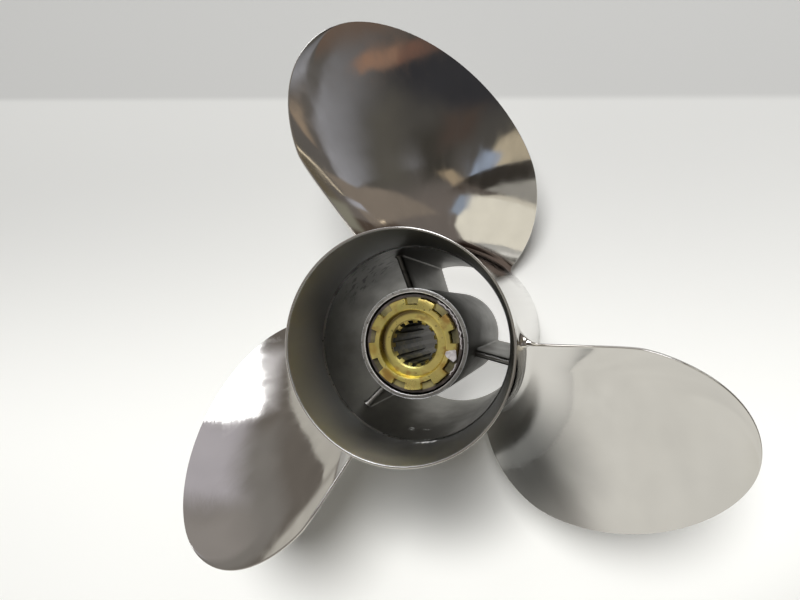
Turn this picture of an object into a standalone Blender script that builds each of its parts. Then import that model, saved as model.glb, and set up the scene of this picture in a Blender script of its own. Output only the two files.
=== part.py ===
"""Three-bladed through-hub-exhaust boat propeller, polished stainless steel, right-handed.

Its own frame: +Z runs aft along the shaft axis, the front rim of the barrel lies in the
plane z = 0, and the first blade points along +Y. Lengths are in metres.

The barrel, flared ring, inner hub, ribs and blades are one casting on the real propeller.
Each is a solid of its own here, a hairline apart from the next one.
"""

import math

import bmesh
import bpy

MM = 0.001
GAP = 0.3 * MM
CUTTER_MARGIN = 20 * MM

# Barrel and flared ring
LENGTH = 153.6 * MM
BARREL_R = 58.5 * MM
BARREL_AFT_Z = 120.0 * MM
FRONT_OPENING_R = 48.7 * MM
AFT_OPENING_R = 55.2 * MM
RIM_CHAMFER = 1.2 * MM
RING_R = 63.9 * MM
RING_THROAT_R = 55.9 * MM
LIP_THICKNESS = 1.6 * MM
FLARE_POWER_OUTSIDE = 1.5
FLARE_POWER_INSIDE = 1.15
FLARE_STEPS = 5

# Inner hub, a tapered tube that holds the bushing
HUB_LENGTH = 118.9 * MM
HUB_FRONT_R = 29.0 * MM
HUB_AFT_R = 31.9 * MM
HUB_BORE_FRONT_R = 25.6 * MM
HUB_BORE_AFT_R = 29.4 * MM
SHOULDER_R = 23.5 * MM
SHOULDER_Z = 14.0 * MM
HUB_CHAMFER = 0.6 * MM

# Ribs between the inner hub and the barrel
RIB_COUNT = 3
RIB_ANGLE = math.radians(107.3)
RIB_THICKNESS = 4.0 * MM
RIB_FRONT_Z = 1.5 * MM
RIB_AFT_HUB_Z = 92.0 * MM
RIB_AFT_BARREL_Z = 97.0 * MM

# Splined sleeve with a castellated flange
SLEEVE_FRONT_Z = 8.0 * MM
SLEEVE_AFT_Z = 121.8 * MM
SLEEVE_R = 19.2 * MM
FLANGE_R = 22.6 * MM
FLANGE_Z = 112.0 * MM
TAB_R = 26.1 * MM
TAB_COUNT = 9
TAB_ANGLE = math.radians(-9.4)
TAB_SHARE = 0.55
COUNTERBORE_R = 18.6 * MM
COUNTERBORE_MOUTH_R = 19.7 * MM
COUNTERBORE_DEPTH = 4.5 * MM
SPLINE_COUNT = 15
SPLINE_MOUTH_R = 14.1 * MM
SPLINE_ROOT_R = 13.4 * MM
SPLINE_TIP_R = 11.8 * MM
SPLINE_LEAD = 2.1 * MM
SPLINE_SHARE = 0.5
SPLINE_ANGLE = math.radians(5.1)
SPLINE_FRONT_Z = 56.0 * MM
THRUST_BORE_R = 14.5 * MM

# Rubber bushing
BUSHING_AFT_Z = 117.0 * MM

# Blades: a helicoid face, thickened on its forward side
BLADE_COUNT = 3
TIP_R = 186.0 * MM
WIDEST_R = 124.0 * MM
HALF_CHORD = 64.0 * MM
ROOT_NARROWING = 0.45
ROOT_POWER = 1.58
TIP_POWER = 1.75
TIP_ROUNDING = 0.54
SKEW_ROOT = math.radians(-5.5)
SKEW_TIP = math.radians(10.6)
SKEW_SAG = math.radians(-10.1)
SKEW_WAVE = math.radians(-10.0)
MID_CHORD_Z = 67.3 * MM
RAKE_SLOPE = 0.398
RAKE_BULGE = 10.9 * MM
PITCH_ROOT = 491.0 * MM
PITCH_TIP = 473.0 * MM
ROOT_THICKNESS = 10.0 * MM
TIP_THICKNESS = 2.6 * MM
EDGE_THICKNESS = 1.7 * MM
THINNING_POWER = 0.7
THICKEST_SHIFT = 1.15
SECTION_FULLNESS = 0.9
TIP_THINNING = 1.6
CUP_DEPTH = 1.5 * MM
CUP_START = 0.88
FILLET_LEADING = 5.0 * MM
FILLET_FACE = 8.0 * MM
FILLET_BACK = 13.0 * MM
ROOT_OVERLAP = 2.0 * MM

# Mesh fineness
SMOOTH_ANGLE = math.radians(35)
ROUND_STEPS = 72
SPAN_STEPS = 12
SPAN_REACH = 0.985
SPAN_CROWDING = 1.7
CHORD_STEPS = 12
EDGE_STEPS = 4
ROOT_HEIGHTS = [h * MM for h in (0.3, 1.0, 2.5, 5.0, 8.5, 13.0)]


def clear_scene():
    for obj in list(bpy.data.objects):
        bpy.data.objects.remove(obj)


def metal(name, colour, roughness, metallic=1.0):
    material = bpy.data.materials.new(name)
    material.use_nodes = True
    shader = material.node_tree.nodes["Principled BSDF"]
    shader.inputs["Base Color"].default_value = (*colour, 1.0)
    shader.inputs["Roughness"].default_value = roughness
    shader.inputs["Metallic"].default_value = metallic
    return material


def add_object(name, mesh, material, parent):
    obj = bpy.data.objects.new(name, mesh)
    if not mesh.materials:
        mesh.materials.append(material)
    bpy.context.scene.collection.objects.link(obj)
    obj.parent = parent
    return obj


def finished_mesh(name, bm):
    bmesh.ops.recalc_face_normals(bm, faces=bm.faces)
    mesh = bpy.data.meshes.new(name)
    bm.to_mesh(mesh)
    bm.free()
    mesh.shade_smooth()
    mesh.set_sharp_from_angle(angle=SMOOTH_ANGLE)
    return mesh


def lofted(name, loops):
    """A closed solid through loops of equally many points, with flat ends."""
    bm = bmesh.new()
    rings = [[bm.verts.new(point) for point in loop] for loop in loops]
    count = len(rings[0])
    for low, high in zip(rings, rings[1:]):
        for i in range(count):
            j = (i + 1) % count
            bm.faces.new((low[i], low[j], high[j], high[i]))
    bm.faces.new(rings[0])
    bm.faces.new(rings[-1])
    return finished_mesh(name, bm)


def turned(name, profile):
    """A ring: the closed profile of (radius, z) points, spun round the shaft axis."""
    bm = bmesh.new()
    verts = [bm.verts.new((radius, 0, z)) for radius, z in profile]
    edges = [bm.edges.new((verts[i - 1], verts[i])) for i in range(len(verts))]
    bmesh.ops.spin(
        bm,
        geom=verts + edges,
        cent=(0, 0, 0),
        axis=(0, 0, 1),
        angle=math.tau,
        steps=ROUND_STEPS,
    )
    bmesh.ops.remove_doubles(bm, verts=bm.verts, dist=MM / 1000)
    return finished_mesh(name, bm)


def arc(radius, middle, half, steps=2):
    """Points on an arc that reaches the angle half to each side of the angle middle."""
    angles = [middle + half * (2 * k / steps - 1) for k in range(steps + 1)]
    return [(radius * math.cos(a), radius * math.sin(a)) for a in angles]


def circle(radius):
    angles = [math.tau * k / ROUND_STEPS for k in range(ROUND_STEPS)]
    return [(radius * math.cos(a), radius * math.sin(a)) for a in angles]


def toothed_outline(teeth, share, tip_r, root_r, first_angle):
    """Outline of a toothed disc: share is the part of each tooth's pitch at the tip radius."""
    spacing = math.tau / teeth
    half_tip = spacing * share / 2
    half_root = spacing / 2 - half_tip
    points = []
    for tooth in range(teeth):
        centre = first_angle + tooth * spacing
        points += arc(tip_r, centre, half_tip)
        points += arc(root_r, centre + spacing / 2, half_root)
    return points


def prism(name, outline, low_z, high_z):
    return lofted(name, [[(x, y, z) for x, y in outline] for z in (low_z, high_z)])


def helper(name, mesh, parent):
    """A cutter or a shape to join, kept out of the part itself."""
    obj = bpy.data.objects.new(name, mesh)
    bpy.context.scene.collection.objects.link(obj)
    obj.parent = parent
    obj.hide_render = True
    obj.display_type = "WIRE"
    return obj


def boolean(obj, operation, other):
    modifier = obj.modifiers.new(other.name, "BOOLEAN")
    modifier.operation = operation
    modifier.object = other
    modifier.solver = "EXACT"


def barrel_inner_r(z):
    return FRONT_OPENING_R + (AFT_OPENING_R - FRONT_OPENING_R) * z / BARREL_AFT_Z


def hub_outer_r(z):
    return HUB_FRONT_R + (HUB_AFT_R - HUB_FRONT_R) * z / HUB_LENGTH


def hub_bore_r(z):
    share = (z - SHOULDER_Z) / (HUB_LENGTH - SHOULDER_Z)
    return HUB_BORE_FRONT_R + (HUB_BORE_AFT_R - HUB_BORE_FRONT_R) * share


def build_barrel(parent, steel):
    profile = [
        (BARREL_R - RIM_CHAMFER, 0),
        (BARREL_R, RIM_CHAMFER),
        (BARREL_R, BARREL_AFT_Z),
        (AFT_OPENING_R, BARREL_AFT_Z),
        (barrel_inner_r(RIM_CHAMFER), RIM_CHAMFER),
        (FRONT_OPENING_R + RIM_CHAMFER, 0),
    ]
    return add_object("barrel", turned("barrel", profile), steel, parent)


def build_flared_ring(parent, steel):
    start_z = BARREL_AFT_Z + GAP
    flare_outside = RING_R - BARREL_R
    flare_inside = RING_R - LIP_THICKNESS - RING_THROAT_R
    outer = []
    inner = []
    for step in range(FLARE_STEPS + 1):
        share = step / FLARE_STEPS
        z = start_z + (LENGTH - start_z) * share
        outer.append((BARREL_R + flare_outside * share**FLARE_POWER_OUTSIDE, z))
        inner.append((RING_THROAT_R + flare_inside * share**FLARE_POWER_INSIDE, z))
    profile = outer + inner[::-1]
    return add_object("flared_ring", turned("flared_ring", profile), steel, parent)


def build_inner_hub(parent, steel):
    profile = [
        (HUB_FRONT_R - HUB_CHAMFER, 0),
        (hub_outer_r(HUB_CHAMFER), HUB_CHAMFER),
        (hub_outer_r(HUB_LENGTH - HUB_CHAMFER), HUB_LENGTH - HUB_CHAMFER),
        (HUB_AFT_R - HUB_CHAMFER, HUB_LENGTH),
        (HUB_BORE_AFT_R, HUB_LENGTH),
        (HUB_BORE_FRONT_R, SHOULDER_Z),
        (SHOULDER_R, SHOULDER_Z),
        (SHOULDER_R, 0),
    ]
    return add_object("inner_hub", turned("inner_hub", profile), steel, parent)


def passage_shape():
    """The exhaust passage between the barrel and the inner hub, a hairline inside both."""
    front_z = -CUTTER_MARGIN
    profile = [
        (barrel_inner_r(front_z) - GAP, front_z),
        (barrel_inner_r(BARREL_AFT_Z) - GAP, BARREL_AFT_Z),
        (hub_outer_r(BARREL_AFT_Z) + GAP, BARREL_AFT_Z),
        (hub_outer_r(front_z) + GAP, front_z),
    ]
    return turned("passage_shape", profile)


def rib_slab():
    """A slab that reaches past the passage on both sides, its aft edge rising outwards."""
    half = RIB_THICKNESS / 2
    near = HUB_FRONT_R / 2
    far = BARREL_R
    slope = (RIB_AFT_BARREL_Z - RIB_AFT_HUB_Z) / (AFT_OPENING_R - HUB_AFT_R)
    aft_near = RIB_AFT_HUB_Z + slope * (near - HUB_AFT_R)
    aft_far = RIB_AFT_HUB_Z + slope * (far - HUB_AFT_R)
    outline = [(near, RIB_FRONT_Z), (far, RIB_FRONT_Z), (far, aft_far), (near, aft_near)]
    return lofted("rib", [[(x, side, z) for x, z in outline] for side in (-half, half)])


def build_ribs(parent, steel):
    passage = helper("passage_shape", passage_shape(), parent)
    slab = rib_slab()
    for index in range(RIB_COUNT):
        rib = add_object(f"rib_{index + 1}", slab, steel, parent)
        rib.rotation_euler.z = RIB_ANGLE - index * math.tau / RIB_COUNT
        boolean(rib, "INTERSECT", passage)


def build_bushing(parent, rubber):
    low_z = SHOULDER_Z + GAP
    under_flange_z = FLANGE_Z - GAP
    profile = [
        (hub_bore_r(low_z) - GAP, low_z),
        (hub_bore_r(BUSHING_AFT_Z) - GAP, BUSHING_AFT_Z),
        (TAB_R + GAP, BUSHING_AFT_Z),
        (TAB_R + GAP, under_flange_z),
        (SLEEVE_R + GAP, under_flange_z),
        (SLEEVE_R + GAP, low_z),
    ]
    return add_object("rubber_bushing", turned("rubber_bushing", profile), rubber, parent)


def spline_cutter(ledge_z):
    """The grooves between the spline's teeth, as one long toothed core."""
    share = 1 - SPLINE_SHARE
    core_r = SPLINE_TIP_R - MM
    grooves = toothed_outline(SPLINE_COUNT, share, SPLINE_ROOT_R, core_r, SPLINE_ANGLE)
    low_z = SPLINE_FRONT_Z - 2 * SPLINE_LEAD
    return prism("spline_cutter", grooves, low_z, ledge_z + SPLINE_LEAD)


def tab_collar(parent):
    """The flange's nine square tabs, on a collar that overlaps the flange."""
    outline = toothed_outline(TAB_COUNT, TAB_SHARE, TAB_R, FLANGE_R, TAB_ANGLE)
    mesh = prism("tab_collar", outline, FLANGE_Z + GAP, SLEEVE_AFT_Z - GAP)
    collar = helper("tab_collar", mesh, parent)
    inside = circle((COUNTERBORE_MOUTH_R + FLANGE_R) / 2)
    low_z = FLANGE_Z - CUTTER_MARGIN
    hollow = prism("collar_hollow", inside, low_z, SLEEVE_AFT_Z + CUTTER_MARGIN)
    boolean(collar, "DIFFERENCE", helper("collar_hollow", hollow, parent))
    return collar


def build_sleeve(parent, brass):
    ledge_z = SLEEVE_AFT_Z - COUNTERBORE_DEPTH
    profile = [
        (SLEEVE_R, SLEEVE_FRONT_Z),
        (SLEEVE_R, FLANGE_Z),
        (FLANGE_R - GAP, FLANGE_Z),
        (FLANGE_R - GAP, SLEEVE_AFT_Z),
        (COUNTERBORE_MOUTH_R, SLEEVE_AFT_Z),
        (COUNTERBORE_R, ledge_z),
        (SPLINE_MOUTH_R, ledge_z),
        (SPLINE_TIP_R, ledge_z - SPLINE_LEAD),
        (SPLINE_TIP_R, SPLINE_FRONT_Z),
        (THRUST_BORE_R, SPLINE_FRONT_Z - (THRUST_BORE_R - SPLINE_TIP_R)),
        (THRUST_BORE_R, SLEEVE_FRONT_Z),
    ]
    sleeve = add_object("spline_sleeve", turned("spline_sleeve", profile), brass, parent)
    cutter = helper("spline_cutter", spline_cutter(ledge_z), parent)
    boolean(sleeve, "DIFFERENCE", cutter)
    boolean(sleeve, "UNION", tab_collar(parent))


def half_chord(radius):
    """Half the blade's width, measured along the arc at this radius."""
    if radius > WIDEST_R:
        share = min((radius - WIDEST_R) / (TIP_R - WIDEST_R), 1.0)
        return HALF_CHORD * (1 - share**TIP_POWER) ** TIP_ROUNDING
    share = (WIDEST_R - radius) / (WIDEST_R - BARREL_R)
    return HALF_CHORD * (1 - ROOT_NARROWING * share**ROOT_POWER)


def span_share(radius):
    return max(radius - BARREL_R, 0.0) / (TIP_R - BARREL_R)


def mid_chord_angle(radius):
    s = span_share(radius)
    skew = SKEW_ROOT + (SKEW_TIP - SKEW_ROOT) * s
    return skew + SKEW_SAG * s * (1 - s) + SKEW_WAVE * s * (1 - s) * (1 - 2 * s)


def pitch(radius):
    return PITCH_ROOT + (PITCH_TIP - PITCH_ROOT) * span_share(radius)


def face_z(radius, angle):
    s = span_share(radius)
    rake = RAKE_SLOPE * (radius - BARREL_R) + RAKE_BULGE * s * (1 - s)
    return MID_CHORD_Z + rake + pitch(radius) * angle / math.tau


def cup(radius, chord_share):
    """How far the trailing edge curls aft."""
    turn = max(chord_share - CUP_START, 0.0) / (1 - CUP_START)
    return CUP_DEPTH * turn**2 * half_chord(radius) / HALF_CHORD


def thickness(radius, chord_share):
    """Blade thickness: thickest a little aft of mid chord, thin at both edges."""
    span = span_share(radius) ** THINNING_POWER
    thickest = ROOT_THICKNESS + (TIP_THICKNESS - ROOT_THICKNESS) * span
    swell = max(math.sin(math.pi * chord_share**THICKEST_SHIFT), 0.0) ** SECTION_FULLNESS
    narrow = min(half_chord(radius) / HALF_CHORD * TIP_THINNING, 1.0)
    return EDGE_THICKNESS + max(thickest - EDGE_THICKNESS, 0) * swell * narrow


def fillet(height, radius):
    """How far a round fillet stands out from the blade, this high above the barrel."""
    if height >= radius:
        return 0.0
    rise = radius - max(height, 0.0)
    return radius - math.sqrt(radius**2 - rise**2)


def blade_section(radius):
    """The closed section of the blade at one radius, as points on that cylinder."""
    height = radius - BARREL_R
    mid = mid_chord_angle(radius)
    half = half_chord(radius) / radius
    slope = math.atan2(pitch(radius) / math.tau, radius)
    along = (math.cos(slope), math.sin(slope))
    forward = (math.sin(slope), -math.cos(slope))

    def section_point(share, deep, out=0.0):
        """A point this deep behind the face, and this far out past the edge."""
        angle = mid + half * (2 * share - 1)
        across = angle * radius + deep * forward[0] + out * along[0]
        z = face_z(radius, angle) + cup(radius, share) + deep * forward[1] + out * along[1]
        return across, z

    def fillets(share):
        face_r = FILLET_LEADING + (FILLET_FACE - FILLET_LEADING) * share
        back_r = FILLET_LEADING + (FILLET_BACK - FILLET_LEADING) * share
        return fillet(height, face_r), fillet(height, back_r)

    def edge(share, toward):
        face_out, back_out = fillets(share)
        core = EDGE_THICKNESS / 2
        points = []
        for k in range(1, EDGE_STEPS):
            swing = math.pi * k / EDGE_STEPS
            side = -math.cos(swing) * toward
            reach = core + face_out + (back_out - face_out) * (1 + side) / 2
            out = reach * math.sin(swing) * toward
            points.append(section_point(share, core + reach * side, out))
        return points

    shares = [(1 - math.cos(math.pi * k / CHORD_STEPS)) / 2 for k in range(CHORD_STEPS + 1)]
    face = []
    back = []
    for share in shares:
        face_out, back_out = fillets(share)
        face.append(section_point(share, -face_out))
        back.append(section_point(share, thickness(radius, share) + back_out))
    flat = face + edge(1.0, 1) + back[::-1] + edge(0.0, -1)
    return [(-radius * math.sin(a / radius), radius * math.cos(a / radius), z) for a, z in flat]


def blade_stations():
    """Radii of the sections: close together in the root fillets and towards the tip."""
    stations = [BARREL_R - ROOT_OVERLAP]
    stations += [BARREL_R + height for height in ROOT_HEIGHTS]
    root = stations[-1]
    for k in range(1, SPAN_STEPS + 1):
        left = 1 - SPAN_REACH * k / SPAN_STEPS
        stations.append(root + (TIP_R - root) * (1 - left**SPAN_CROWDING))
    return stations


def build_blades(parent, steel):
    mesh = lofted("blade", [blade_section(radius) for radius in blade_stations()])
    seat = prism(
        "blade_seat", circle(BARREL_R + GAP), -CUTTER_MARGIN, LENGTH + CUTTER_MARGIN
    )
    cutter = helper("blade_seat", seat, parent)
    for index in range(BLADE_COUNT):
        blade = add_object(f"blade_{index + 1}", mesh, steel, parent)
        blade.rotation_euler.z = -index * math.tau / BLADE_COUNT
        boolean(blade, "DIFFERENCE", cutter)


def main():
    clear_scene()
    polished = metal("polished_stainless", (0.60, 0.58, 0.55), 0.12)
    cast = metal("cast_stainless", (0.38, 0.36, 0.33), 0.38)
    brass = metal("brass", (0.72, 0.60, 0.25), 0.35)
    rubber = metal("rubber", (0.09, 0.07, 0.07), 0.7, metallic=0.0)
    propeller = bpy.data.objects.new("propeller", None)
    bpy.context.scene.collection.objects.link(propeller)
    build_barrel(propeller, polished)
    build_flared_ring(propeller, polished)
    build_inner_hub(propeller, cast)
    build_ribs(propeller, cast)
    build_blades(propeller, polished)
    build_bushing(propeller, rubber)
    build_sleeve(propeller, brass)


main()
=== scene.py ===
"""Looks of the three-bladed stainless boat propeller, standing on its front rim.

Everything is in metres in the part's own frame: +Z runs aft along the shaft axis, the front
rim lies in the plane z = 0, and the first blade points along +Y.
"""

import math

import bmesh
import bpy
from mathutils import Matrix, Vector, noise


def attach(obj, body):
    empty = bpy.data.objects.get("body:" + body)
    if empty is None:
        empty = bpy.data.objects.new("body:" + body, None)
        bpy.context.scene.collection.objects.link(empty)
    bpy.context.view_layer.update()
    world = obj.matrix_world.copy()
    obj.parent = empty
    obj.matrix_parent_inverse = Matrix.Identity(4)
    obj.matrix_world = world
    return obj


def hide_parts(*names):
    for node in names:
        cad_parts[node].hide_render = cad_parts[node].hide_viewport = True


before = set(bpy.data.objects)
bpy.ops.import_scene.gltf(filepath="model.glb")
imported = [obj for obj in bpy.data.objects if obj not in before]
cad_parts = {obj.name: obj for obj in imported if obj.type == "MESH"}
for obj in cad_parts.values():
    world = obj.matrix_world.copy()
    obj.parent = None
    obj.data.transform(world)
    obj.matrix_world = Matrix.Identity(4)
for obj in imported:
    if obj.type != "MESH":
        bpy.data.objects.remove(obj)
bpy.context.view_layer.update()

MM = 0.001

# Barrel and flared ring, as in the solid parts
LENGTH = 153.6 * MM
BARREL_R = 58.5 * MM
BARREL_AFT_Z = 120.0 * MM
FRONT_OPENING_R = 48.7 * MM
AFT_OPENING_R = 55.2 * MM
RIM_CHAMFER = 1.2 * MM
RING_R = 63.9 * MM
RING_THROAT_R = 55.9 * MM
LIP_THICKNESS = 1.6 * MM
FLARE_POWER_OUTSIDE = 1.5
FLARE_POWER_INSIDE = 1.15
STEP_DEPTH = 1.3 * MM

# Inner hub and ribs
HUB_LENGTH = 118.9 * MM
HUB_FRONT_R = 29.0 * MM
HUB_AFT_R = 31.9 * MM
HUB_BORE_FRONT_R = 25.6 * MM
HUB_BORE_AFT_R = 29.4 * MM
SHOULDER_R = 23.5 * MM
SHOULDER_Z = 14.0 * MM
RIB_COUNT = 3
RIB_ANGLE = math.radians(107.3)
RIB_THICKNESS = 4.0 * MM
RIB_FRONT_Z = 1.5 * MM
RIB_AFT_HUB_Z = 92.0 * MM
RIB_AFT_BARREL_Z = 97.0 * MM
RIB_FILLET = 0.9 * MM
RIB_SINK = 0.4 * MM

# Splined sleeve
SLEEVE_FRONT_Z = 8.0 * MM
SLEEVE_AFT_Z = 121.8 * MM
SLEEVE_R = 19.2 * MM
FLANGE_R = 22.6 * MM
FLANGE_Z = 112.0 * MM
TAB_R = 26.1 * MM
TAB_COUNT = 9
TAB_ANGLE = math.radians(-9.4)
TAB_SHARE = 0.55
COUNTERBORE_R = 18.6 * MM
COUNTERBORE_MOUTH_R = 19.7 * MM
COUNTERBORE_DEPTH = 4.5 * MM
SPLINE_COUNT = 15
SPLINE_MOUTH_R = 14.1 * MM
SPLINE_ROOT_R = 13.4 * MM
SPLINE_TIP_R = 11.8 * MM
SPLINE_LEAD = 2.1 * MM
SPLINE_SHARE = 0.5
SPLINE_ANGLE = math.radians(5.1)
FIRST_TOOTH_ANGLE = SPLINE_ANGLE + math.pi / SPLINE_COUNT
SPLINE_FRONT_Z = 56.0 * MM
THRUST_BORE_R = 14.5 * MM
BUSHING_AFT_Z = 117.6 * MM
TOOTH_FLANK = math.radians(0.5)

# Stains and pits on the sleeve's face, as x and y in mm, and how dark its painted shade is at most
PATINA_SPOTS = [(-24.0, -3.5), (-14.6, -17.6), (-1.0, -23.5), (19.0, -13.0), (5.5, 23.0)]
BRASS_PITS = [(7.2, 19.3), (-5.2, 24.6)]
DEEPEST_SLEEVE_SHADE = 0.9

# Marks on the steel, in mm: x, y and z of the middle, the distance at which the mark has faded
# out, and the distance up to which it is full. Knocks and scuffs are on the barrel's inner wall,
# painted dark reflections lie at the roots of the second and the first blade, and the third is
# brushed.
KNOCKS = [
    (-7, -53.5, 95, 3.5, 1.75),
    (1, -53.6, 92, 3, 1.5),
    (3, -55.8, 120, 3, 1.5),
    (8, -55.4, 120.5, 4, 2),
    (12, -55, 121, 3, 1.5),
]
SCUFFS = (-33, 42, 95, 30, 10)
SECOND_ROOT_DARK_REFLECTION = (47, -77, 57, 78, 12)
FIRST_ROOT_DARK_REFLECTION = (29, 57, 33, 34, 24)
BRUSHED = (-135, -95, 90, 95, 60)

# Radii at which the painted dark reflection at the first blade's root has faded out and is full
DARK_REFLECTION_OUTER_R = 67 * MM
DARK_REFLECTION_INNER_R = 63 * MM

# Directions from the shaft axis towards the side painted lightest: of the barrel's wall, of the
# flared ring's inside and of the hub's end; and towards the side of the sleeve that is painted in
# shade
LIT_WALL_SIDE = (-0.3, -0.95, 0)
LIT_RING_SIDE = (-0.75, -0.66, 0)
LIT_HUB_SIDE = (-0.5, 0.85, 0)
SHADED_SLEEVE_SIDE = (-0.8, 0.6, 0)

# Dried rubber, in mm: the outline of the flake and its middle, and (first angle, last angle in
# degrees, radius) of each torn edge
FLAKE_OUTLINE = [
    (19.1, -5.4), (19.8, -3.8), (22.2, -3.1), (25.6, -2.7),
    (25.9, -8.2), (24.2, -9.7), (22.0, -8.3), (20.1, -7.2),
]
FLAKE_MIDDLE = (22.6, -6.0)
FLAKE_THICKNESS = 0.35 * MM
FLASH_RUNS = [(-6, 22, 27.3), (21, 60, 27.5), (-40, -23, 26.7)]
FLASH_WIDTH = 0.9 * MM
FLASH_HEIGHT = 0.9 * MM

# Nicks along worn edges: how fine their noise is round the shaft, and from one row to the next
NICKS_ROUND = 15.3
NICKS_ROW = 510.0

# Blades
BLADE_COUNT = 3
TIP_R = 185.75 * MM
WIDEST_R = 124.0 * MM
HALF_CHORD = 63.95 * MM
ROOT_NARROWING = 0.45
ROOT_POWER = 1.58
TIP_POWER = 1.75
TIP_ROUNDING = 0.54
SKEW_ROOT = math.radians(-5.5)
SKEW_TIP = math.radians(10.6)
SKEW_SAG = math.radians(-10.1)
SKEW_WAVE = math.radians(-10.0)
MID_CHORD_Z = 67.3 * MM
RAKE_SLOPE = 0.398
RAKE_BULGE = 10.9 * MM
PITCH_ROOT = 491.0 * MM
PITCH_TIP = 473.0 * MM
ROOT_THICKNESS = 10.0 * MM
TIP_THICKNESS = 2.6 * MM
LEADING_EDGE = 1.1 * MM
TRAILING_EDGE = 1.8 * MM
TRAILING_BLUNTNESS = 0.55
LEADING_BLUNTNESS = 1.0
THINNING_POWER = 0.7
THICKEST_SHIFT = 1.15
SECTION_FULLNESS = 0.9
TIP_THINNING = 1.6
CUP_DEPTH = 1.5 * MM
CUP_START = 0.88
FILLET_LEADING = 5.0 * MM
FILLET_FACE = 8.0 * MM
FILLET_BACK = 13.0 * MM
ROOT_SINK = 0.6 * MM

# Fineness of the meshes
ROUND_STEPS = 256
CHORD_STEPS = 90
SPAN_STEPS = 100
EDGE_STEPS = 10
RIB_ACROSS_STEPS = 28
RIB_UP_STEPS = 10
RIB_EDGE_STEPS = 6
FLARE_STEPS = 24
FILLET_STEPS = 24
FLASH_STEPS = 40

# The last section of a blade lies this share of the way to its tip, and the sections crowd
# towards the tip by this power
LAST_SECTION = 0.9985
TIP_CROWDING = 1.7

# The floor: half its side, and how far it lies below the part
FLOOR_HALF = 0.9
FLOOR_DROP = 0.05 * MM

# Painted shade dims its white paper from one Y to another, and it ends where Y plus a slope times X
# passes the edge
PAPER_LIT_Y = -0.12
PAPER_DIM_Y = 0.15
PAPER_EDGE_Y = 0.1716
PAPER_EDGE_SLOPE = 0.08

# On the diagonal to the near right corner: where the paper starts to dim, where it has dimmed, and
# the light that is left there
CORNER_START = 0.22
CORNER_END = 0.36
CORNER_LIGHT = 0.62

# The dark table beyond the paper, on the right: from this X on, and from this Y plus slope times X
TABLE_X = 0.30
TABLE_Y = 0.145
TABLE_SLOPE = 0.65

# Deeper shade on the paper, below the barrel and under the second blade: x, y, half width and
# half depth in mm, and how dark its middle is
PAPER_POOLS = [(-20, -120, 95, 65, 0.45), (95, -62, 75, 48, 0.25)]

# How bright the paper glows inside the barrel, at its near side and at its far one
GLOW_NEAR = 0.38
GLOW_FAR = 0.80

# The photograph's viewpoint
CAMERA_PLACE = Vector((0.1141, 0.0274, 0.5085))
CAMERA_LOOK = Vector((-0.299, -0.006, -0.954))
CAMERA_UP = Vector((-0.001, 1.0, -0.006))
CAMERA_LENS = 31.96


# Node helpers

def add_node(tree, kind, settings=None, **inputs):
    """A node with its settings and inputs; an input is a value or another node's output."""
    node = tree.nodes.new(kind)
    for key, value in (settings or {}).items():
        setattr(node, key, value)
    for key, value in inputs.items():
        place = int(key[1:]) if key[0] == "_" else key.replace("_", " ")
        socket = node.inputs[place]
        if isinstance(value, bpy.types.NodeSocket):
            tree.links.new(value, socket)
        else:
            socket.default_value = value
    return node


def maths(tree, operation, a, b=0.0):
    """Maths on two numbers, each a value or another node's output."""
    return add_node(tree, "ShaderNodeMath", {"operation": operation}, _0=a, _1=b).outputs[0]


def times(tree, a, b):
    return maths(tree, "MULTIPLY", a, b)


def folded(tree, operation, values):
    """The same maths through a whole list, such as its smallest value or its product."""
    result = values[0]
    for value in values[1:]:
        result = maths(tree, operation, result, value)
    return result


def away_from(tree, value, middle):
    """How far a number is from another one, either way."""
    return maths(tree, "ABSOLUTE", maths(tree, "SUBTRACT", value, middle))


def vectors(tree, operation, a, b=(0, 0, 0), c=(0, 0, 0)):
    """Vector maths; a dot product, a distance or a length comes out as a number."""
    node = add_node(tree, "ShaderNodeVectorMath", {"operation": operation}, _0=a, _1=b, _2=c)
    single = operation in ("DOT_PRODUCT", "DISTANCE", "LENGTH")
    return node.outputs["Value" if single else "Vector"]


def dot(tree, a, b):
    return vectors(tree, "DOT_PRODUCT", a, b)


def scaled(tree, colour, share):
    """A colour times a number."""
    settings = {"operation": "SCALE"}
    return add_node(tree, "ShaderNodeVectorMath", settings, _0=colour, Scale=share).outputs[0]


def axes(tree, vector):
    """The x, y and z of a vector."""
    return add_node(tree, "ShaderNodeSeparateXYZ", Vector=vector).outputs


def mapped(tree, value, low, high, to_low=0.0, to_high=1.0, smooth=True):
    """A number moved from one range to another and kept within it; smooth eases both ends."""
    settings = {"interpolation_type": "SMOOTHSTEP" if smooth else "LINEAR"}
    node = add_node(
        tree, "ShaderNodeMapRange", settings, _0=value, _1=low, _2=high, _3=to_low, _4=to_high
    )
    return node.outputs[0]


def mixed(tree, factor, a, b):
    """Colour a where the factor is 0 and colour b where it is 1."""
    node = add_node(tree, "ShaderNodeMix", {"data_type": "RGBA"}, _0=factor)
    for index, value in ((6, a), (7, b)):
        if isinstance(value, bpy.types.NodeSocket):
            tree.links.new(value, node.inputs[index])
        else:
            node.inputs[index].default_value = (*value, 1.0)
    return node.outputs[2]


def noise_value(tree, vector, scale, detail=3.0, stretch=(1, 1, 1), roughness=0.5):
    """Smooth noise from 0 to 1; a stretch above 1 makes it finer along that axis."""
    moved = add_node(tree, "ShaderNodeMapping", Vector=vector, Scale=stretch).outputs[0]
    node = add_node(
        tree, "ShaderNodeTexNoise", Vector=moved, Scale=scale, Detail=detail, Roughness=roughness
    )
    return node.outputs[0]


def bumped(tree, height, depth, normal=None):
    """A bump whose height of 1 stands this many metres out."""
    node = add_node(tree, "ShaderNodeBump", Height=height, Strength=1.0, Distance=depth)
    if normal is not None:
        tree.links.new(normal, node.inputs["Normal"])
    return node.outputs[0]


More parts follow.
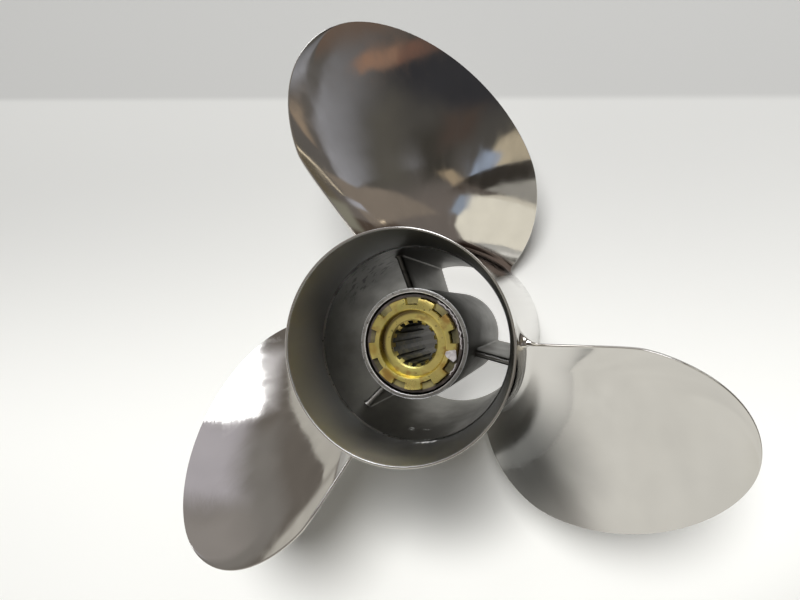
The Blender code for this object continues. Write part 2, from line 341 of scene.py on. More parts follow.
def new_material(name, **constants):
    """A material whose shader has these constants, its nodes, and each point's place on the part."""
    material = bpy.data.materials.new(name)
    material.use_nodes = True
    tree = material.node_tree
    for key, value in constants.items():
        tree.nodes["Principled BSDF"].inputs[key.replace("_", " ")].default_value = value
    return material, tree, add_node(tree, "ShaderNodeTexCoord").outputs["Object"]


def finished(material, **links):
    """The material, with what varies over its surface linked to its shader."""
    tree = material.node_tree
    for key, value in links.items():
        tree.links.new(value, tree.nodes["Principled BSDF"].inputs[key.replace("_", " ")])
    return material


# Materials

def polar_parts(tree, place):
    """The direction away from the shaft axis, the distance from it, and the height."""
    x, y, height = axes(tree, place)
    flat = add_node(tree, "ShaderNodeCombineXYZ", X=x, Y=y).outputs[0]
    return vectors(tree, "NORMALIZE", flat), vectors(tree, "LENGTH", flat), height


def near_point(tree, place, x, y, z, far, near):
    """1 within the near distance of a point, fading to 0 at the far one (all in mm)."""
    gap = vectors(tree, "DISTANCE", place, (x * MM, y * MM, z * MM))
    return mapped(tree, gap, far * MM, near * MM)


def polished_steel():
    """Hand-polished stainless: sharp reflections, slow waves, belt marks along the blade, and painted
    dark reflections at two blade roots.
    """
    material, tree, place = new_material("polished_steel", Metallic=1.0, Anisotropic=0.5)
    outward, radius, _ = polar_parts(tree, place)
    slow = noise_value(tree, place, 26.0, 2.0)
    climb = add_node(tree, "ShaderNodeCombineXYZ", Z=times(tree, radius, 3.0)).outputs[0]
    marks = noise_value(tree, vectors(tree, "ADD", outward, climb), 22.0)
    smudges = noise_value(tree, place, 34.0, 4.0)
    colour = mixed(tree, smudges, (0.66, 0.64, 0.605), (0.61, 0.595, 0.57))
    # Painted dark reflections, not marks on the steel: at the second blade's root, and in a band at
    # the first blade's root
    colour = mixed(tree, near_point(tree, place, *SECOND_ROOT_DARK_REFLECTION), colour, (0.14, 0.14, 0.135))
    band = mapped(tree, radius, DARK_REFLECTION_OUTER_R, DARK_REFLECTION_INNER_R)
    darkening = times(tree, near_point(tree, place, *FIRST_ROOT_DARK_REFLECTION), band)
    colour = mixed(tree, darkening, colour, (0.13, 0.10, 0.085))
    rough = mapped(tree, marks, 0.35, 0.7, 0.055, 0.11)
    scores = noise_value(tree, place, 600.0, 3.0, (1, 0.05, 1))
    scores = times(tree, scores, near_point(tree, place, *BRUSHED))
    normal = bumped(tree, slow, 0.16 * MM)
    normal = bumped(tree, marks, 0.006 * MM, normal)
    normal = bumped(tree, scores, 0.009 * MM, normal)
    around = add_node(tree, "ShaderNodeTangent", {"direction_type": "RADIAL", "axis": "Z"}).outputs[0]
    return finished(material, Base_Color=colour, Roughness=rough, Normal=normal, Tangent=around)


def knocked(tree, place, colour):
    """A colour with bright knocks over it, and how metallic the two are together."""
    torn = mapped(tree, noise_value(tree, place, 420.0), 0.46, 0.52)
    near = folded(tree, "MAXIMUM", [near_point(tree, place, *knock) for knock in KNOCKS])
    bright = times(tree, near, torn)
    metallic = mapped(tree, bright, 0.0, 1.0, 1.0, 0.2, False)
    return mixed(tree, bright, colour, (0.80, 0.80, 0.78)), metallic


def satin_steel():
    """The inside of the barrel and hub: cast, blasted and stained by exhaust, and painted paler on
    one side as painted light.
    """
    material, tree, place = new_material("satin_steel", Metallic=1.0)
    outward, _, _ = polar_parts(tree, place)
    darkening = noise_value(tree, place, 30.0, 5.0, (1, 1, 0.5), 0.6)
    grain = noise_value(tree, place, 900.0, 2.0)
    dents = noise_value(tree, place, 150.0, 3.0, (1, 1, 0.35))
    colour = mixed(tree, mapped(tree, darkening, 0.3, 0.75), (0.275, 0.27, 0.25), (0.20, 0.193, 0.178))
    # Painted light: the wall's colour is lighter on one side, darker on the other
    lean = dot(tree, outward, LIT_WALL_SIDE)
    colour = scaled(tree, colour, mapped(tree, lean, -0.7, 0.95, 0.62, 1.4, False))
    colour, metallic = knocked(tree, place, colour)
    scuffs = noise_value(tree, place, 260.0, 3.0, (0.35, 1, 1))
    scuffed = times(tree, near_point(tree, place, *SCUFFS), mapped(tree, scuffs, 0.54, 0.62))
    colour = mixed(tree, scuffed, colour, (0.05, 0.05, 0.045))
    rough = mapped(tree, darkening, 0.3, 0.7, 0.36, 0.5)
    normal = bumped(tree, grain, 0.03 * MM, bumped(tree, dents, 0.10 * MM))
    return finished(material, Base_Color=colour, Roughness=rough, Normal=normal, Metallic=metallic)


def turned_steel():
    """The lathe-cut inside of the flared ring, painted in shade on one side and painted light on the
    other.
    """
    material, tree, place = new_material("turned_steel", Metallic=1.0)
    outward, radius, height = polar_parts(tree, place)
    along = maths(tree, "ADD", radius, height)
    line = add_node(tree, "ShaderNodeCombineXYZ", X=along).outputs[0]
    cuts = noise_value(tree, line, 2500.0, 2.0)
    darkening = noise_value(tree, place, 28.0, 4.0)
    lit_tone = mixed(tree, darkening, (0.90, 0.91, 0.93), (0.74, 0.75, 0.76))
    shaded_tone = mixed(tree, darkening, (0.12, 0.12, 0.11), (0.08, 0.08, 0.072))
    # Painted light and shade: the ring's inside is painted lighter on one side and darker on the
    # other
    lean = dot(tree, outward, LIT_RING_SIDE)
    colour = mixed(tree, mapped(tree, lean, -0.75, 0.75, 0.0, 1.0, False), shaded_tone, lit_tone)
    colour, metallic = knocked(tree, place, colour)
    rough = mapped(tree, darkening, 0.3, 0.7, 0.36, 0.48)
    normal = bumped(tree, cuts, 0.008 * MM)
    return finished(material, Base_Color=colour, Roughness=rough, Normal=normal, Metallic=metallic)


def worn_steel():
    """The hub's end and the step in the barrel: bare, pitted, brighter along the hub's edges, and
    painted lighter on one side as painted light.
    """
    material, tree, place = new_material("worn_steel", Metallic=1.0)
    outward, radius, _ = polar_parts(tree, place)
    pits = noise_value(tree, place, 650.0)
    wear = noise_value(tree, place, 120.0)
    off = away_from(tree, radius, (HUB_AFT_R + HUB_BORE_AFT_R) / 2)
    edge = mapped(tree, off, 0.7 * MM, 1.1 * MM)
    scuffed = times(tree, edge, mapped(tree, off, 2.5 * MM, 2.0 * MM))
    metallic = mapped(tree, scuffed, 0.0, 1.0, 1.0, 0.65, False)
    colour = mixed(tree, mapped(tree, wear, 0.35, 0.65), (0.36, 0.355, 0.34), (0.56, 0.56, 0.55))
    colour = mixed(tree, edge, colour, (0.95, 0.95, 0.94))
    # Painted light: the colour is brighter on one side and darker on the other
    lean = dot(tree, outward, LIT_HUB_SIDE)
    colour = scaled(tree, colour, mapped(tree, lean, -0.9, 0.9, 0.72, 1.3, False))
    colour = mixed(tree, mapped(tree, pits, 0.58, 0.70), colour, (0.20, 0.19, 0.17))
    rough = mapped(tree, wear, 0.3, 0.7, 0.42, 0.28)
    normal = bumped(tree, pits, 0.09 * MM)
    return finished(material, Base_Color=colour, Roughness=rough, Normal=normal, Metallic=metallic)


def spot_mask(tree, place, spots, radius, softness):
    """1 near any of the given points (x and y in mm on the sleeve's face), 0 elsewhere."""
    flat = vectors(tree, "MULTIPLY", place, (1, 1, 0))
    gaps = [vectors(tree, "DISTANCE", flat, (x * MM, y * MM, 0)) for x, y in spots]
    return mapped(tree, folded(tree, "MINIMUM", gaps), radius + softness, radius - softness)


def painted_shade_masks(tree, place):
    """Painted shade on one side of the sleeve: in the counterbore's corner, and round the spline's
    mouth.
    """
    outward, radius, height = polar_parts(tree, place)
    lean = dot(tree, outward, SHADED_SLEEVE_SIDE)
    facing = mapped(tree, lean, -0.1, 0.8, 0.0, DEEPEST_SLEEVE_SHADE)
    corner = mapped(tree, away_from(tree, radius, COUNTERBORE_R), 2.2 * MM, 0.5 * MM)
    below = mapped(tree, height, SLEEVE_AFT_Z - 0.5 * MM, SLEEVE_AFT_Z - 1.5 * MM)
    mouth = mapped(tree, radius, SPLINE_MOUTH_R + 0.2 * MM, SPLINE_MOUTH_R - 0.2 * MM)
    return times(tree, times(tree, corner, below), facing), times(tree, mouth, facing)


def brass():
    """Yellow brass, olive in places, with orange patina, soiled tabs, painted shade on one side, and
    pits.
    """
    material, tree, place = new_material("brass", Metallic=1.0)
    _, radius, _ = polar_parts(tree, place)
    patches = noise_value(tree, place, 85.0)
    specks = noise_value(tree, place, 420.0)
    olive = noise_value(tree, place, 55.0, 2.0)
    colour = mixed(tree, mapped(tree, olive, 0.4, 0.7), (0.97, 0.82, 0.29), (0.76, 0.69, 0.23))
    near = spot_mask(tree, place, PATINA_SPOTS, 3.0 * MM, 2.2 * MM)
    patina = times(tree, near, mapped(tree, patches, 0.35, 0.6))
    colour = mixed(tree, patina, colour, (0.66, 0.42, 0.09))
    colour = mixed(tree, mapped(tree, patches, 0.54, 0.68), colour, (0.56, 0.36, 0.11))
    soiled = mapped(tree, radius, TAB_R - 0.9 * MM, TAB_R - 0.1 * MM, 0.0, 0.6)
    colour = mixed(tree, soiled, colour, (0.42, 0.30, 0.09))
    # Painted shade, not dirt: the counterbore's corner and the spline's mouth darken on one side
    corner, mouth = painted_shade_masks(tree, place)
    colour = mixed(tree, corner, colour, (0.16, 0.11, 0.06))
    colour = mixed(tree, mouth, colour, (0.24, 0.18, 0.06))
    pits = spot_mask(tree, place, BRASS_PITS, 0.35 * MM, 0.2 * MM)
    colour = mixed(tree, pits, colour, (0.03, 0.025, 0.02))
    colour = mixed(tree, mapped(tree, specks, 0.64, 0.76), colour, (0.26, 0.20, 0.08))
    rough = mapped(tree, patches, 0.3, 0.7, 0.26, 0.44)
    normal = bumped(tree, specks, 0.05 * MM)
    return finished(material, Base_Color=colour, Roughness=rough, Normal=normal)


def greasy_bore():
    """The splined bore, dark with old grease, and the plain bore ahead of it."""
    material, tree, place = new_material("greasy_bore", Roughness=0.4, Specular_IOR_Level=0.2)
    film = noise_value(tree, place, 120.0)
    height = axes(tree, place)[2]
    ahead = mapped(tree, height, SPLINE_FRONT_Z + 0.5 * MM, SPLINE_FRONT_Z - 0.5 * MM)
    teeth = mixed(tree, mapped(tree, film, 0.35, 0.7), (0.03, 0.029, 0.02), (0.14, 0.125, 0.06))
    plain = mixed(tree, film, (0.15, 0.13, 0.105), (0.10, 0.088, 0.07))
    return finished(material, Base_Color=mixed(tree, ahead, teeth, plain))


def rubber():
    """Purple-brown rubber with dust in its grain, and painted light on the olive keys between the
    tabs at top and bottom.
    """
    material, tree, place = new_material("rubber")
    outward, radius, _ = polar_parts(tree, place)
    dust = noise_value(tree, place, 160.0, 4.0)
    grain = noise_value(tree, place, 1200.0, 2.0)
    outer = mapped(tree, radius, TAB_R + 0.1 * MM, TAB_R + 0.9 * MM)
    # Painted light: the keys between the tabs are painted lighter at top and bottom
    lit = mapped(tree, maths(tree, "ABSOLUTE", axes(tree, outward)[1]), 0.5, 0.95)
    clean_key = mixed(tree, lit, (0.048, 0.043, 0.022), (0.15, 0.13, 0.055))
    dusty_key = mixed(tree, lit, (0.105, 0.09, 0.05), (0.24, 0.205, 0.09))
    clean = mixed(tree, outer, clean_key, (0.028, 0.023, 0.02))
    dusty = mixed(tree, outer, dusty_key, (0.072, 0.058, 0.053))
    colour = mixed(tree, mapped(tree, dust, 0.35, 0.75), clean, dusty)
    rough = mapped(tree, dust, 0.3, 0.7, 0.45, 0.65)
    normal = bumped(tree, grain, 0.05 * MM)
    return finished(material, Base_Color=colour, Roughness=rough, Normal=normal)


def pale_flake():
    """Grey-white skin of torn rubber and corrosion."""
    material, tree, place = new_material("pale_flake", Roughness=0.45)
    mottle = noise_value(tree, place, 500.0, 4.0)
    colour = mixed(tree, mapped(tree, mottle, 0.35, 0.7), (0.40, 0.375, 0.37), (0.24, 0.22, 0.22))
    return finished(material, Base_Color=colour, Normal=bumped(tree, mottle, 0.15 * MM))


def paper_colour(tree, place):
    """White paper with painted shade that deepens towards the back, and the greyer sheet behind its
    edge.
    """
    drift = dot(tree, place, (-0.02, 1, 0))
    # Painted shade: the paper darkens towards the back
    dimming = mapped(tree, drift, PAPER_LIT_Y, PAPER_DIM_Y)
    paper = mixed(tree, dimming, (0.91, 0.91, 0.88), (0.575, 0.575, 0.56))
    beyond = dot(tree, place, (PAPER_EDGE_SLOPE, 1, 0))
    behind = mapped(tree, beyond, PAPER_EDGE_Y - 3 * MM, PAPER_EDGE_Y + 3 * MM)
    return mixed(tree, behind, paper, (0.465, 0.465, 0.455))


def pool(tree, place, x, y, wide, deep, darkest):
    """A soft dark pool on the paper: 1 round it and this dark in its middle (sizes in mm)."""
    scale = (1 / (wide * MM), 1 / (deep * MM), 0.0)
    shift = (-x / wide, -y / deep, 0.0)
    reach = vectors(tree, "LENGTH", vectors(tree, "MULTIPLY_ADD", place, scale, shift))
    return mapped(tree, reach, 0.0, 1.0, darkest, 1.0)


def paper_light(tree, place):
    """How much light the paper keeps, in its dim corner and in the pools of shade."""
    corner = dot(tree, place, (0.7, -0.7, 0))
    shares = [mapped(tree, corner, CORNER_START, CORNER_END, 1.0, CORNER_LIGHT)]
    shares += [pool(tree, place, *values) for values in PAPER_POOLS]
    return folded(tree, "MULTIPLY", shares)


def table_mask(tree, place):
    """1 on the dark table, 0 on the paper."""
    right = mapped(tree, axes(tree, place)[0], TABLE_X - 10 * MM, TABLE_X + 10 * MM)
    level = dot(tree, place, (TABLE_SLOPE, 1, 0))
    return times(tree, right, mapped(tree, level, TABLE_Y - 20 * MM, TABLE_Y + 20 * MM))


def barrel_glow(tree, place):
    """The paper's glow inside the barrel, for the light that comes through the passages."""
    _, radius, _ = polar_parts(tree, place)
    inside = mapped(tree, radius, FRONT_OPENING_R + 2 * MM, FRONT_OPENING_R)
    across = axes(tree, place)[1]
    glow = mapped(tree, across, -FRONT_OPENING_R, FRONT_OPENING_R, GLOW_NEAR, GLOW_FAR, False)
    return times(tree, inside, glow)


def floor_material():
    """White paper with a grey sheet behind it and a dark table on its right."""
    warm = (1.0, 0.99, 0.95, 1.0)
    material, tree, place = new_material(
        "white_paper", Roughness=0.6, Specular_IOR_Level=0.1, Emission_Color=warm
    )
    colour = scaled(tree, paper_colour(tree, place), paper_light(tree, place))
    colour = mixed(tree, table_mask(tree, place), colour, (0.055, 0.05, 0.045))
    return finished(material, Base_Color=colour, Emission_Strength=barrel_glow(tree, place))


# Mesh helpers

def lofted(loops, closed_ends=False, around=False):
    """Quads between loops of equally many points; around joins the last loop to the first."""
    bm = bmesh.new()
    rings = [[bm.verts.new(point) for point in loop] for loop in loops]
    count = len(rings[0])
    pairs = list(zip(rings, rings[1:]))
    if around:
        pairs.append((rings[-1], rings[0]))
    for low, high in pairs:
        for i in range(count):
            j = (i + 1) % count
            bm.faces.new((low[i], low[j], high[j], high[i]))
    if closed_ends:
        bm.faces.new(rings[0])
        bm.faces.new(rings[-1])
    bmesh.ops.recalc_face_normals(bm, faces=bm.faces)
    return bm


def rounded(corners, steps=4):
    """A closed outline through (radius, z, rounding) corners, each one cut by a small arc."""
    points = []
    count = len(corners)
    for index, (x, y, cut) in enumerate(corners):
        here = Vector((x, y))
        if cut == 0:
            points.append(here)
            continue
        before = Vector(corners[index - 1][:2]) - here
        after = Vector(corners[(index + 1) % count][:2]) - here
        start = here + before.normalized() * cut
        end = here + after.normalized() * cut
        for k in range(steps + 1):
            t = k / steps
            points.append(start * (1 - t) ** 2 + here * 2 * t * (1 - t) + end * t**2)
    return [(p[0], p[1]) for p in points]


def between(start, end, share):
    return start + (end - start) * share


def eased_shares(steps):
    """Shares from 0 to 1, closest together at both ends."""
    return [(1 - math.cos(math.pi * k / steps)) / 2 for k in range(steps + 1)]


def even_angles():
    return [math.tau * k / ROUND_STEPS for k in range(ROUND_STEPS)]


def turned(profile, angles):
    """A ring: the closed profile of (radius, z), carried round the shaft axis.

    A radius is a number or, where the ring is toothed or worn, a function of the angle.
    """
    loops = []
    for radius, z in profile:
        radii = [radius(a) if callable(radius) else radius for a in angles]
        loops.append([(r * math.cos(a), r * math.sin(a), z) for r, a in zip(radii, angles)])
    return lofted(loops, around=True)


def finished_mesh(name, bm, materials, sharp=40):
    """The mesh, smooth but for edges sharper than this many degrees, with its materials."""
    mesh = bpy.data.meshes.new(name)
    bm.to_mesh(mesh)
    bm.free()
    mesh.shade_smooth()
    mesh.set_sharp_from_angle(angle=math.radians(sharp))
    for material in materials:
        mesh.materials.append(material)
    return mesh


def new_object(name, data):
    """An object in the scene that shows a mesh, a lamp or a camera."""
    shown = bpy.data.objects.new(name, data)
    bpy.context.scene.collection.objects.link(shown)
    return shown


def place_piece(name, mesh, replaces=(), turn=0.0):
    """A piece that rides on the part and stands for CAD nodes, turned this far round the axis."""
    turned_mesh = mesh.copy()
    turned_mesh.name = name
    turned_mesh.transform(Matrix.Rotation(turn, 4, "Z"))
    piece = new_object(name, turned_mesh)
    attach(piece, "root")
    if replaces:
        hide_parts(*replaces)


def place_around(mesh, count, node, ending, first=0.0):
    """Like pieces round the shaft axis, each one standing for its own CAD node."""
    for index in range(count):
        name = f"{node}_{index + 1}"
        place_piece(name + ending, mesh, (name,), first - index * math.tau / count)


def barrel_inner_r(z):
    return between(FRONT_OPENING_R, AFT_OPENING_R, z / BARREL_AFT_Z)


def hub_outer_r(z):
    return between(HUB_FRONT_R, HUB_AFT_R, z / HUB_LENGTH)


def hub_bore_r(z):
    share = (z - SHOULDER_Z) / (HUB_LENGTH - SHOULDER_Z)
    return between(HUB_BORE_FRONT_R, HUB_BORE_AFT_R, share)


# Casting

def flare(share):
    """Outer and inner radius of the flared ring, this far from its root to its lip."""
    outside = between(BARREL_R, RING_R, share**FLARE_POWER_OUTSIDE)
    inside = between(RING_THROAT_R, RING_R - LIP_THICKNESS, share**FLARE_POWER_INSIDE)
    return outside, inside


def barrel_corners():
    """The wall's section as (radius, z, rounding): up its outside, over the lip, down its inside."""
    lip = LIP_THICKNESS * 0.42
    reach = LENGTH - BARREL_AFT_Z
    shares = [k / FLARE_STEPS for k in range(FLARE_STEPS)]
    outside = [(flare(s)[0], BARREL_AFT_Z + reach * s, 0) for s in shares]
    inside = [(flare(s)[1], BARREL_AFT_Z + reach * s, 0) for s in shares[:0:-1]]
    return [
        (FRONT_OPENING_R + RIM_CHAMFER, 0, 0.3 * MM),
        (BARREL_R - RIM_CHAMFER, 0, 0.4 * MM),
        (BARREL_R, RIM_CHAMFER, 0.4 * MM),
        *outside,
        (RING_R, LENGTH, lip),
        (RING_R - LIP_THICKNESS, LENGTH, lip),
        *inside,
        (RING_THROAT_R, BARREL_AFT_Z, 0.3 * MM),
        (AFT_OPENING_R, BARREL_AFT_Z - STEP_DEPTH, 0.5 * MM),
        (barrel_inner_r(RIM_CHAMFER), RIM_CHAMFER, 0.4 * MM),
    ]


def build_barrel(steel, satin, machined, worn_edge):
    """The barrel and flared ring as the single casting they are."""
    bm = turned(rounded(barrel_corners()), even_angles())
    finishes = [steel, satin, machined, worn_edge]
    for face in bm.faces:
        centre = face.calc_center_median()
        radius = centre.xy.length
        above = centre.z - BARREL_AFT_Z
        if face.normal.xy.dot(centre.xy) < -0.3 * radius:
            face.material_index = finishes.index(machined if above > 0 else satin)
        on_step = -STEP_DEPTH - 0.2 * MM < above < 0.1 * MM
        if on_step and radius < RING_THROAT_R + 0.1 * MM:
            face.material_index = finishes.index(worn_edge)
    mesh = finished_mesh("barrel_casting", bm, finishes)
    place_piece("barrel_casting", mesh, ("barrel", "flared_ring"))


def build_hub(satin, worn_end):
    """The inner hub, its aft end cut flat on a lathe."""
    corners = [
        (HUB_FRONT_R, 0, 0.6 * MM),
        (HUB_AFT_R, HUB_LENGTH, 0.7 * MM),
        (HUB_BORE_AFT_R, HUB_LENGTH, 0.45 * MM),
        (HUB_BORE_FRONT_R, SHOULDER_Z, 0.2 * MM),
        (SHOULDER_R, SHOULDER_Z, 0.2 * MM),
        (SHOULDER_R, 0, 0.4 * MM),
    ]
    bm = turned(rounded(corners), even_angles())
    finishes = [satin, worn_end]
    for face in bm.faces:
        if face.calc_center_median().z > HUB_LENGTH - 0.8 * MM:
            face.material_index = finishes.index(worn_end)
    mesh = finished_mesh("hub_tube", bm, finishes)
    place_piece("hub_tube", mesh, ("inner_hub",))


def fillet(height, radius):
    """How far a round fillet stands out, this high above the surface it grows from."""
    if height >= radius:
        return 0.0
    rise = radius - max(height, 0.0)
    return radius - math.sqrt(radius**2 - rise**2)


def rib_point(across, z, side):
    """A point on a rib's side, this share of the way from the hub to the barrel."""
    near = hub_outer_r(z) - RIB_SINK
    far = barrel_inner_r(z) + RIB_SINK
    radius = between(near, far, across)
    grow = fillet(radius - near - RIB_SINK, RIB_FILLET) + fillet(far - RIB_SINK - radius, RIB_FILLET)
    return radius, side * (RIB_THICKNESS / 2 + grow), z


def rib_section(across):
    """The rib's outline where it is this share of the way out: both sides and a round aft edge."""
    edge = RIB_THICKNESS / 2
    aft_slope = (RIB_AFT_BARREL_Z - RIB_AFT_HUB_Z) / (AFT_OPENING_R - HUB_AFT_R)
    radius, half, _ = rib_point(across, RIB_AFT_HUB_Z, 1)
    aft_z = RIB_AFT_HUB_Z + aft_slope * (radius - HUB_AFT_R)
    height = aft_z - edge - RIB_FRONT_Z
    heights = [RIB_FRONT_Z + height * k / RIB_UP_STEPS for k in range(RIB_UP_STEPS)]
    swings = [math.pi * k / RIB_EDGE_STEPS for k in range(RIB_EDGE_STEPS + 1)]
    aft = [(radius, half * math.cos(s), aft_z - edge + edge * math.sin(s)) for s in swings]
    left = [rib_point(across, z, 1) for z in heights]
    right = [rib_point(across, z, -1) for z in reversed(heights)]
    return left + aft + right


def build_ribs(satin):
    """Webs with a round aft edge and fillets at the hub and at the barrel."""
    loops = [rib_section(share) for share in eased_shares(RIB_ACROSS_STEPS)]
    mesh = finished_mesh("rib_web", lofted(loops, closed_ends=True), [satin], 50)
    place_around(mesh, RIB_COUNT, "rib", "_web", RIB_ANGLE)


# Blades

def half_chord(radius):
    if radius > WIDEST_R:
        share = min((radius - WIDEST_R) / (TIP_R - WIDEST_R), 1.0)
        return HALF_CHORD * (1 - share**TIP_POWER) ** TIP_ROUNDING
    share = (WIDEST_R - radius) / (WIDEST_R - BARREL_R)
    return HALF_CHORD * (1 - ROOT_NARROWING * share**ROOT_POWER)


def span_share(radius):
    return max(radius - BARREL_R, 0.0) / (TIP_R - BARREL_R)


def mid_chord_angle(radius):
    s = span_share(radius)
    skew = between(SKEW_ROOT, SKEW_TIP, s)
    return skew + SKEW_SAG * s * (1 - s) + SKEW_WAVE * s * (1 - s) * (1 - 2 * s)


def pitch(radius):
    return between(PITCH_ROOT, PITCH_TIP, span_share(radius))


def face_z(radius, angle):
    s = span_share(radius)
    rake = RAKE_SLOPE * (radius - BARREL_R) + RAKE_BULGE * s * (1 - s)
    return MID_CHORD_Z + rake + pitch(radius) * angle / math.tau


def cup(radius, chord_share):
    """How far the trailing edge curls aft."""
    turn = max(chord_share - CUP_START, 0.0) / (1 - CUP_START)
    return CUP_DEPTH * turn**2 * half_chord(radius) / HALF_CHORD


def thickness(radius, chord_share):
    """Blade thickness: thickest a little aft of mid chord, thin at both edges."""
    span = span_share(radius) ** THINNING_POWER
    edge = between(LEADING_EDGE, TRAILING_EDGE, chord_share)
    thickest = between(ROOT_THICKNESS, TIP_THICKNESS, span)
    swell = max(math.sin(math.pi * chord_share**THICKEST_SHIFT), 0.0) ** SECTION_FULLNESS
    narrow = min(half_chord(radius) / HALF_CHORD * TIP_THINNING, 1.0)
    return edge + max(thickest - edge, 0) * swell * narrow


def blade_section(radius):
    """The closed section of the blade at one radius, as points on that cylinder."""
    height = radius - BARREL_R
    mid = mid_chord_angle(radius)
    half = half_chord(radius) / radius
    slope = math.atan2(pitch(radius) / math.tau, radius)
    along = (math.cos(slope), math.sin(slope))
    forward = (math.sin(slope), -math.cos(slope))

    def section_point(share, deep, out=0.0):
        """A point this deep behind the face, and this far out past the edge."""
        angle = mid + half * (2 * share - 1)
        across = angle * radius + deep * forward[0] + out * along[0]
        z = face_z(radius, angle) + cup(radius, share) + deep * forward[1] + out * along[1]
        return across, z

    def fillets(share):
        radii = [between(FILLET_LEADING, widest, share) for widest in (FILLET_FACE, FILLET_BACK)]
        return [fillet(height, r) for r in radii]

    def edge(share, toward, thick, bluntness):
        """From face to back round an edge; bluntness 1 is round and 0 is square."""
        face_out, back_out = fillets(share)
        core = thick / 2
        points = []
        for k in range(1, EDGE_STEPS):
            swing = math.pi * k / EDGE_STEPS
            lean = -math.cos(swing) * toward
            side = math.copysign(abs(lean) ** bluntness, lean)
            reach = core + face_out + (back_out - face_out) * (1 + side) / 2
            out = reach * math.sin(swing) ** bluntness * toward
            points.append(section_point(share, core + reach * side, out))
        return points

    face = []
    back = []
    for share in eased_shares(CHORD_STEPS):
        face_out, back_out = fillets(share)
        face.append(section_point(share, -face_out))
        back.append(section_point(share, thickness(radius, share) + back_out))
    trailing = edge(1.0, 1, TRAILING_EDGE, TRAILING_BLUNTNESS)
    leading = edge(0.0, -1, LEADING_EDGE, LEADING_BLUNTNESS)
    flat = face + trailing + back[::-1] + leading
    return [(-radius * math.sin(a / radius), radius * math.cos(a / radius), z) for a, z in flat]


def blade_stations():
    """Radii of the sections: closest in the root fillets and towards the tip."""
    tallest = FILLET_BACK * 1.05
    stations = [BARREL_R - ROOT_SINK]
    stations += [BARREL_R + tallest * (k / FILLET_STEPS) ** 2 for k in range(FILLET_STEPS + 1)]
    root = stations[-1]
    for k in range(1, SPAN_STEPS + 1):
        left = 1 - LAST_SECTION * k / SPAN_STEPS
        stations.append(root + (TIP_R - root) * (1 - left**TIP_CROWDING))
    return stations


def cap_section(bm, ring):
    """Closes a blade section with narrow faces from its face to its back, so it stays curved."""
    mirror = 2 * (CHORD_STEPS + 1) + EDGE_STEPS - 2
    half_edge = (EDGE_STEPS - 1) // 2
    for i in range(-half_edge, CHORD_STEPS + 1 + half_edge):
        corners = []
        for index in (i, i + 1, mirror - i - 1, mirror - i):
            vert = ring[index % len(ring)]
            if vert not in corners:
                corners.append(vert)
        if len(corners) > 2:
            bm.faces.new(corners)


def build_blades(steel):
    """Three like blades, the first one along +Y."""
    sections = [blade_section(radius) for radius in blade_stations()]
    bm = lofted(sections)
    verts = list(bm.verts)
    cap_section(bm, verts[: len(sections[0])])
    cap_section(bm, verts[-len(sections[0]) :])
    bmesh.ops.recalc_face_normals(bm, faces=bm.faces)
    mesh = finished_mesh("blade", bm, [steel], 60)
    place_around(mesh, BLADE_COUNT, "blade", "_surface")


# Sleeve and bushing

def step_at(angle, count, share, first, high, low):
    """A toothed radius: high on each tooth, low between them, with short flanks."""
    spacing = math.tau / count
    off = abs((angle - first + spacing / 2) % spacing - spacing / 2)
    t = (off - spacing * share / 2) / TOOTH_FLANK + 0.5
    return between(high, low, min(max(t, 0.0), 1.0))


def flank_angles(count, share, first):
    """The angles at which step_at bends."""
    spacing = math.tau / count
    edges = []
    for tooth in range(count):
        for side in (-1, 1):
            edge = first + tooth * spacing + side * spacing * share / 2
            edges += [edge - TOOTH_FLANK / 2, edge + TOOTH_FLANK / 2]
    return edges


def sleeve_angles():
    """Evenly spread angles, with those where a tab or a spline tooth begins or ends."""
    angles = even_angles()
    angles += flank_angles(TAB_COUNT, TAB_SHARE, TAB_ANGLE)
    angles += flank_angles(SPLINE_COUNT, SPLINE_SHARE, FIRST_TOOTH_ANGLE)
    return sorted(a % math.tau for a in angles)


def worn(angle, row, amount):
    """A small irregular offset, for nicked and rounded edges; each row has its own nicks."""
    spot = (NICKS_ROUND * math.cos(angle), NICKS_ROUND * math.sin(angle), NICKS_ROW * row)
    return amount * noise.noise(spot)


def tab_r(angle, inset=0.0):
    radius = step_at(angle, TAB_COUNT, TAB_SHARE, TAB_ANGLE, TAB_R - inset, FLANGE_R - 0.3 * MM)
    return radius + worn(angle, 0, 0.25 * MM)


def tooth_r(angle):
    first = FIRST_TOOTH_ANGLE
    return step_at(angle, SPLINE_COUNT, SPLINE_SHARE, first, SPLINE_TIP_R, SPLINE_ROOT_R)


